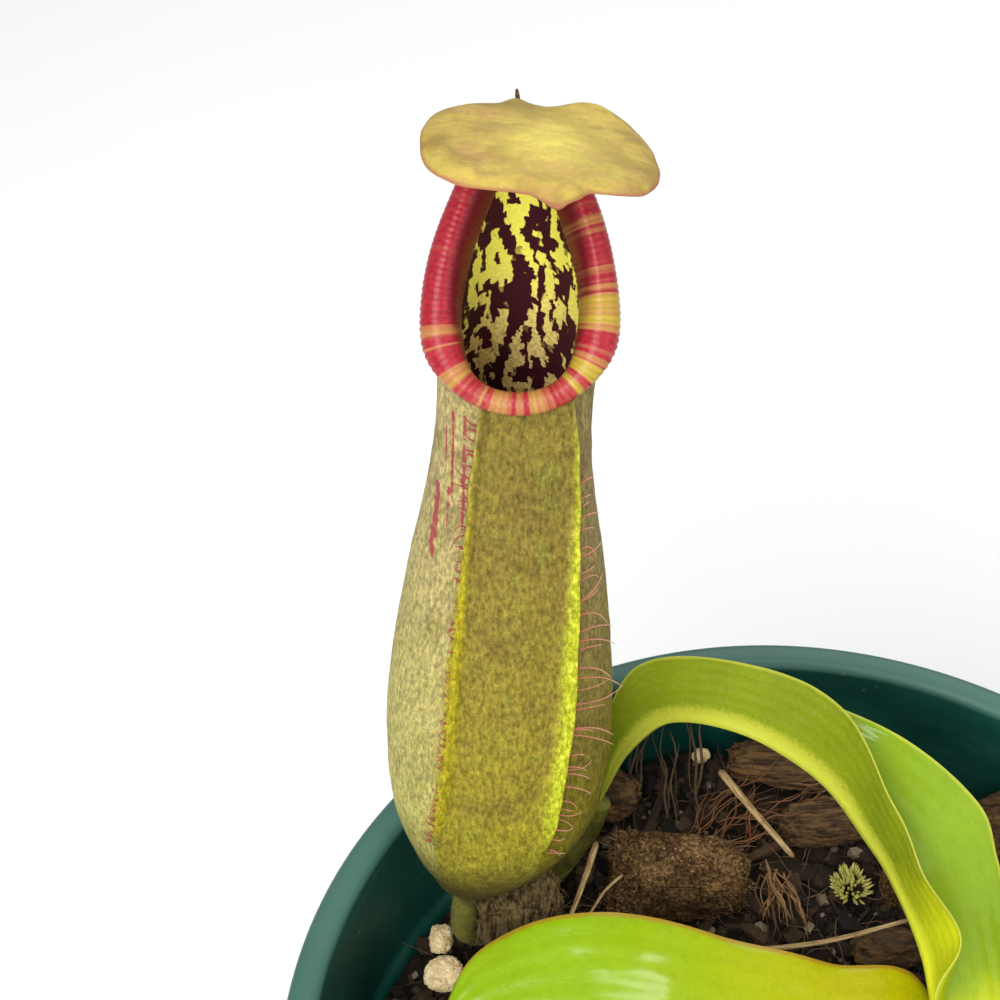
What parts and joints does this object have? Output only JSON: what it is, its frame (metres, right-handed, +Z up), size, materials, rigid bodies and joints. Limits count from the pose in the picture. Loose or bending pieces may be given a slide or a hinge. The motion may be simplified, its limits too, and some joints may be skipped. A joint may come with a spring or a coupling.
{
  "type": "potted pitcher plant",
  "caption": "Young tropical pitcher plant in a round nursery pot: an arching leaf carries an upright pitcher with a ribbed collar and a lid, over a rosette of waxy leaves.",
  "frame": {"origin": "centre of the pot's flat underside, on the surface it stands on", "axes": "+Z up along the pot's axis; -Y is the side the pitcher's mouth and fringed wings face; +X is to the right when seen from that side"},
  "size_m": [0.1543, 0.1451, 0.2281],
  "materials": {
    "pot_plastic": "dark green moulded plastic, lightly scuffed",
    "mix": "damp dark fibre and bark",
    "pitcher_skin": "olive, finely felted",
    "peristome_skin": "glossy red with yellow bands, ribbed",
    "lid_skin": "matt yellow-tan",
    "spur_skin": "dry brown",
    "wing_skin": "lime ridge with red hairs",
    "leaf_green": "smooth waxy lime green",
    "tendril_skin": "olive, finely hairy",
    "stem_skin": "green",
    "coir": "rough brown fibre",
    "bark": "rough grained bark",
    "moss": "pale moss",
    "perlite": "chalky",
    "straw": "dry straw"
  },
  "bodies": {
    "root": {"pot": "pot_plastic", "potting_mix": "mix", "main_stem": "stem_skin", "young_leaf": "leaf_green", "pitcher_body": "pitcher_skin", "peristome": "peristome_skin", "pitcher_lid": "lid_skin", "lid_spur": "spur_skin", "wing_left": "wing_skin", "wing_right": "wing_skin", "leaf_1_blade": "leaf_green", "leaf_1_tendril": "tendril_skin", "leaf_2_blade": "leaf_green", "leaf_2_tendril": "tendril_skin", "leaf_3_blade": "leaf_green", "leaf_4_blade": "leaf_green", "leaf_5_blade": "leaf_green", "coir_chunk": "coir", "husk_stub": "coir", "bark_chip_1": "bark", "bark_chip_2": "bark", "bark_chip_3": "bark", "bark_chip_4": "bark", "bark_chip_5": "bark", "bark_chip_6": "bark", "bark_chip_7": "bark", "bark_chip_8": "bark", "moss_tuft": "moss", "perlite_1": "perlite", "perlite_2": "perlite", "perlite_3": "perlite", "straw_1": "straw", "straw_2": "straw", "straw_3": "straw", "straw_4": "straw"}
  },
  "joints": []
}
